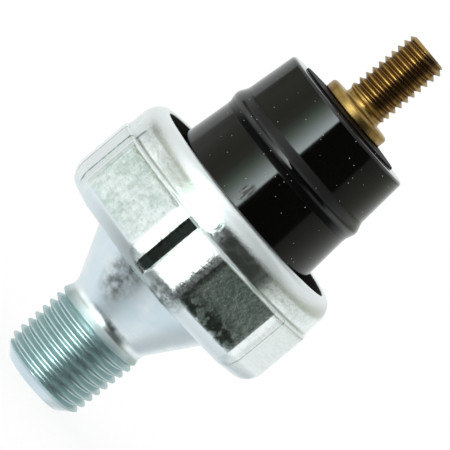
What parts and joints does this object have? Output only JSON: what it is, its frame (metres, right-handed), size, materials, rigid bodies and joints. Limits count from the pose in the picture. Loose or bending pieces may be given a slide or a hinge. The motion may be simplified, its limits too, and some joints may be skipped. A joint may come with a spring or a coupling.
{
  "type": "oil pressure sender",
  "caption": "Oil pressure sender with a tapered pipe thread, a rolled hexagonal steel shell, a black insulator and a brass terminal stud.",
  "frame": {"origin": "on the axis, at the end face of the pipe thread", "axes": "+Z along the axis, from the pipe thread towards the terminal; one corner of the hexagon lies on +X"},
  "size_m": [0.028, 0.0266, 0.0498],
  "materials": {
    "zinc_fitting": "satin bluish zinc plate",
    "zinc_shell": "bright zinc plate on drawn sheet",
    "plain_steel": "plain",
    "spring_steel": "drawn wire",
    "silver": "bright",
    "brass": "stamped",
    "terminal_brass": "turned, slightly dulled",
    "black_insulator": "glossy moulding",
    "pale_insulator": "moulded",
    "amber_film": "thin film",
    "seal_rubber": "moulded",
    "gasket_fibre": "pressed fibre"
  },
  "bodies": {
    "housing": {"pressure_fitting": "zinc_fitting", "port_restrictor": "brass", "seal_ring": "seal_rubber", "hex_shell": "zinc_shell", "diaphragm": "amber_film", "spacer_ring": "plain_steel", "contact_ring": "brass", "contact_spring": "spring_steel", "cap_gasket": "gasket_fibre", "insulator_cap": "black_insulator", "stud_washer": "brass", "terminal_stud": "terminal_brass"},
    "contact_carrier": {"pressure_plate": "plain_steel", "plunger": "pale_insulator", "moving_contact": "brass", "contact_points": "silver"}
  },
  "joints": [
    {"name": "contact_lift", "type": "slide", "parent": "housing", "child": "contact_carrier", "axis": [0, 0, 1], "range_m": [0, 0.0005], "stiffness_N_per_m": 1200, "deforming": ["contact_spring"]}
  ]
}
